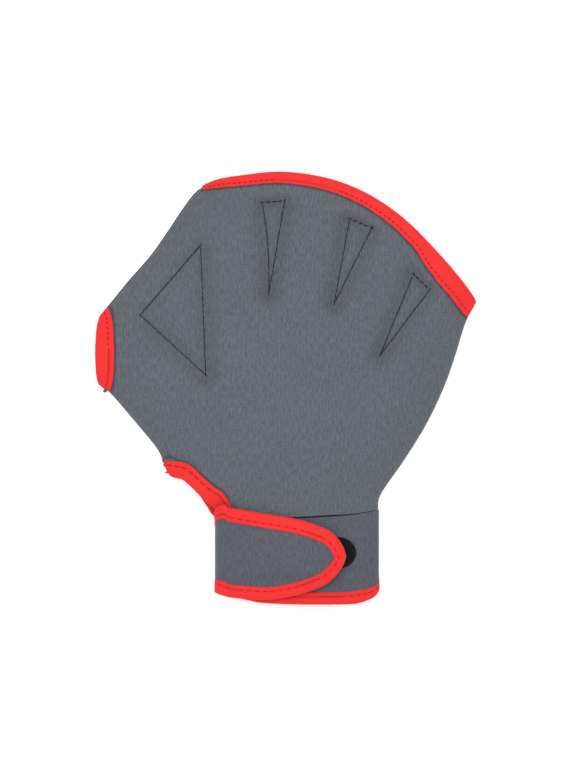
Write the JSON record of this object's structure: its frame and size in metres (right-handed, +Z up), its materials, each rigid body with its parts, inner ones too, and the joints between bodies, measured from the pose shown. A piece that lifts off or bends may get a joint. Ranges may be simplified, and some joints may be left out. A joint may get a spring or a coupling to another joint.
{
  "type": "webbed swim glove",
  "caption": "Left-hand webbed swim glove of grey neoprene with open fingertips, red binding and a wrist strap, lying flat with its palm up.",
  "frame": {"origin": "on the flat underside of the back panel, where it rests on a surface, below the middle of the palm", "axes": "+Z up out of the palm, +Y towards the fingers, +X away from the thumb"},
  "size_m": [0.2025, 0.229, 0.0201],
  "materials": {
    "neoprene_grey": "knit jersey face, matt",
    "neoprene_band": "knit jersey face, matt",
    "binding_red": "knit tape, matt with a soft sheen",
    "fastener_black": "looped pile, matt"
  },
  "bodies": {
    "root": {"palm_panel": "neoprene_grey", "back_panel": "neoprene_grey", "finger_binding_palm": "binding_red", "finger_binding_back": "binding_red", "thumb_binding_palm": "binding_red", "thumb_binding_back": "binding_red", "slit_binding_palm": "binding_red", "slit_binding_back": "binding_red", "wrist_band": "neoprene_band", "band_binding": "binding_red", "loop_patch": "fastener_black", "hook_patch": "fastener_black"}
  },
  "joints": []
}
